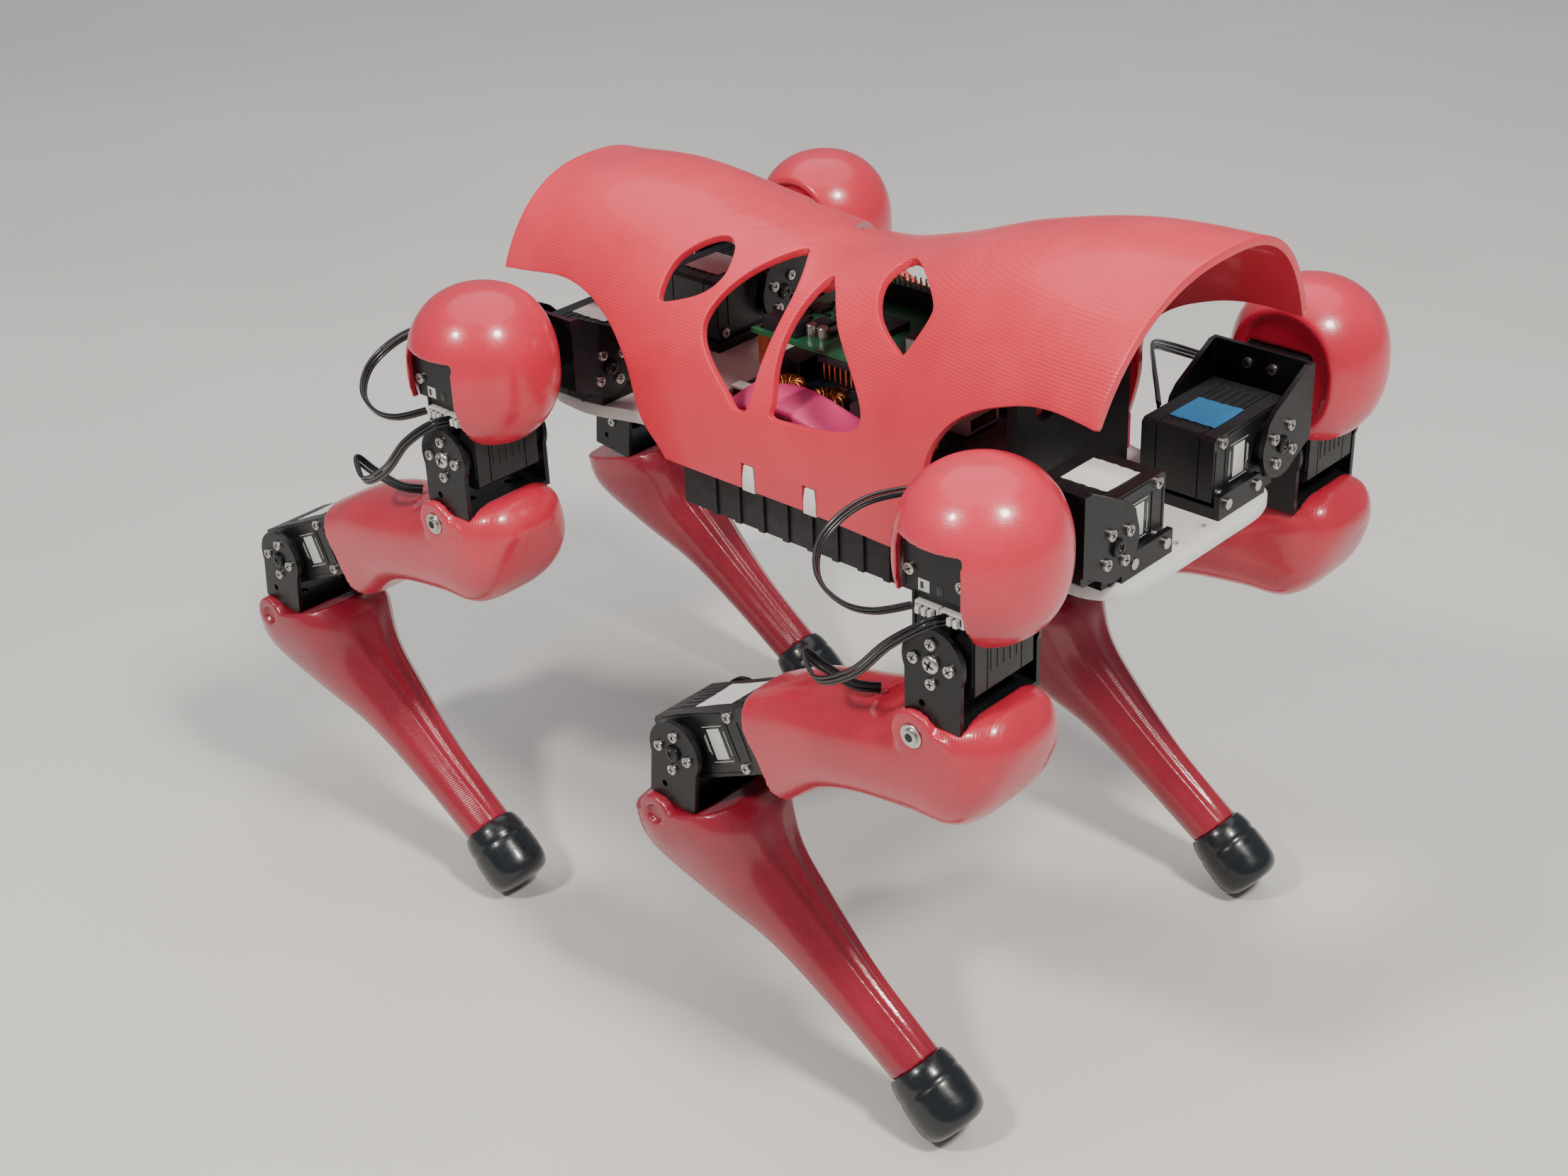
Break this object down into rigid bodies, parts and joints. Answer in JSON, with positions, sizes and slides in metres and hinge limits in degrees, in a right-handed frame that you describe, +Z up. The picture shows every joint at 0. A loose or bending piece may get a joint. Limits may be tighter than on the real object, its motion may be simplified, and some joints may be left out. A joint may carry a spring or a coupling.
{
  "type": "quadruped robot",
  "caption": "Four-legged walking robot with an arched printed back shell, domed shoulders, boot-shaped thighs and tapered shins on rubber feet.",
  "frame": {"origin": "centre of the bounding box on the ground under the feet", "axes": "+X forward, +Y to the robot's left, +Z up"},
  "size_m": [0.4068, 0.2508, 0.314],
  "materials": {
    "white_plastic": "smooth printed sheet",
    "coral_gloss": "glossy lacquered print with fine layer lines",
    "crimson_gloss": "glossy lacquered print with fine layer lines",
    "black_plastic": "satin",
    "blue_wrap": "shrink wrap",
    "pink_plastic": "printed",
    "green_board": "solder mask",
    "black_board": "solder mask",
    "black_metal": "satin black",
    "steel": "pan-head screws",
    "servo_black": "satin",
    "foot_rubber": "glossy",
    "lead_black": "flexible insulation"
  },
  "bodies": {
    "chassis": {"chassis_plate": "white_plastic", "back_shell": "coral_gloss", "battery_case": "black_plastic", "battery_cells": "blue_wrap", "electronics_tray": "pink_plastic", "computer_board": "green_board", "driver_board": "black_board", "front_panel": "black_plastic", "servo_cradles": "black_metal", "chassis_screws": "steel", "fr_shoulder_servo": "servo_black", "fl_shoulder_servo": "servo_black", "rr_shoulder_servo": "servo_black", "rl_shoulder_servo": "servo_black"},
    "fr_shoulder": {"fr_shoulder_bracket": "black_metal", "fr_shoulder_cap": "coral_gloss", "fr_hip_servo": "servo_black", "fr_hip_lead": "lead_black"},
    "fr_thigh": {"fr_hip_bracket": "black_metal", "fr_thigh": "coral_gloss", "fr_knee_servo": "servo_black", "fr_knee_lead": "lead_black"},
    "fr_shin": {"fr_knee_bracket": "black_metal", "fr_shin": "crimson_gloss", "fr_foot": "foot_rubber"},
    "fl_shoulder": {"fl_shoulder_bracket": "black_metal", "fl_shoulder_cap": "coral_gloss", "fl_hip_servo": "servo_black", "fl_hip_lead": "lead_black"},
    "fl_thigh": {"fl_hip_bracket": "black_metal", "fl_thigh": "coral_gloss", "fl_knee_servo": "servo_black", "fl_knee_lead": "lead_black"},
    "fl_shin": {"fl_knee_bracket": "black_metal", "fl_shin": "crimson_gloss", "fl_foot": "foot_rubber"},
    "rr_shoulder": {"rr_shoulder_bracket": "black_metal", "rr_shoulder_cap": "coral_gloss", "rr_hip_servo": "servo_black", "rr_hip_lead": "lead_black"},
    "rr_thigh": {"rr_hip_bracket": "black_metal", "rr_thigh": "coral_gloss", "rr_knee_servo": "servo_black", "rr_knee_lead": "lead_black"},
    "rr_shin": {"rr_knee_bracket": "black_metal", "rr_shin": "crimson_gloss", "rr_foot": "foot_rubber"},
    "rl_shoulder": {"rl_shoulder_bracket": "black_metal", "rl_shoulder_cap": "coral_gloss", "rl_hip_servo": "servo_black", "rl_hip_lead": "lead_black"},
    "rl_thigh": {"rl_hip_bracket": "black_metal", "rl_thigh": "coral_gloss", "rl_knee_servo": "servo_black", "rl_knee_lead": "lead_black"},
    "rl_shin": {"rl_knee_bracket": "black_metal", "rl_shin": "crimson_gloss", "rl_foot": "foot_rubber"}
  },
  "joints": [
    {"name": "fr_roll", "type": "hinge", "parent": "chassis", "child": "fr_shoulder", "pos_m": [0.17336, -0.048, 0.228], "axis": [-1, 0, 0], "range_deg": [-15, 15]},
    {"name": "fr_hip", "type": "hinge", "parent": "fr_shoulder", "child": "fr_thigh", "pos_m": [0.17336, -0.095, 0.209], "axis": [0, 1, 0], "range_deg": [-25, 25]},
    {"name": "fr_knee", "type": "hinge", "parent": "fr_thigh", "child": "fr_shin", "pos_m": [0.05551, -0.095, 0.128], "axis": [0, 1, 0], "range_deg": [-20, 35]},
    {"name": "fl_roll", "type": "hinge", "parent": "chassis", "child": "fl_shoulder", "pos_m": [0.17336, 0.048, 0.228], "axis": [1, 0, 0], "range_deg": [-15, 15]},
    {"name": "fl_hip", "type": "hinge", "parent": "fl_shoulder", "child": "fl_thigh", "pos_m": [0.17336, 0.095, 0.209], "axis": [0, 1, 0], "range_deg": [-25, 25]},
    {"name": "fl_knee", "type": "hinge", "parent": "fl_thigh", "child": "fl_shin", "pos_m": [0.05551, 0.095, 0.128], "axis": [0, 1, 0], "range_deg": [-20, 35]},
    {"name": "rr_roll", "type": "hinge", "parent": "chassis", "child": "rr_shoulder", "pos_m": [-0.05664, -0.048, 0.228], "axis": [-1, 0, 0], "range_deg": [-15, 15]},
    {"name": "rr_hip", "type": "hinge", "parent": "rr_shoulder", "child": "rr_thigh", "pos_m": [-0.05664, -0.095, 0.209], "axis": [0, 1, 0], "range_deg": [-25, 25]},
    {"name": "rr_knee", "type": "hinge", "parent": "rr_thigh", "child": "rr_shin", "pos_m": [-0.17449, -0.095, 0.128], "axis": [0, 1, 0], "range_deg": [-20, 35]},
    {"name": "rl_roll", "type": "hinge", "parent": "chassis", "child": "rl_shoulder", "pos_m": [-0.05664, 0.048, 0.228], "axis": [1, 0, 0], "range_deg": [-15, 15]},
    {"name": "rl_hip", "type": "hinge", "parent": "rl_shoulder", "child": "rl_thigh", "pos_m": [-0.05664, 0.095, 0.209], "axis": [0, 1, 0], "range_deg": [-25, 25]},
    {"name": "rl_knee", "type": "hinge", "parent": "rl_thigh", "child": "rl_shin", "pos_m": [-0.17449, 0.095, 0.128], "axis": [0, 1, 0], "range_deg": [-20, 35]}
  ]
}
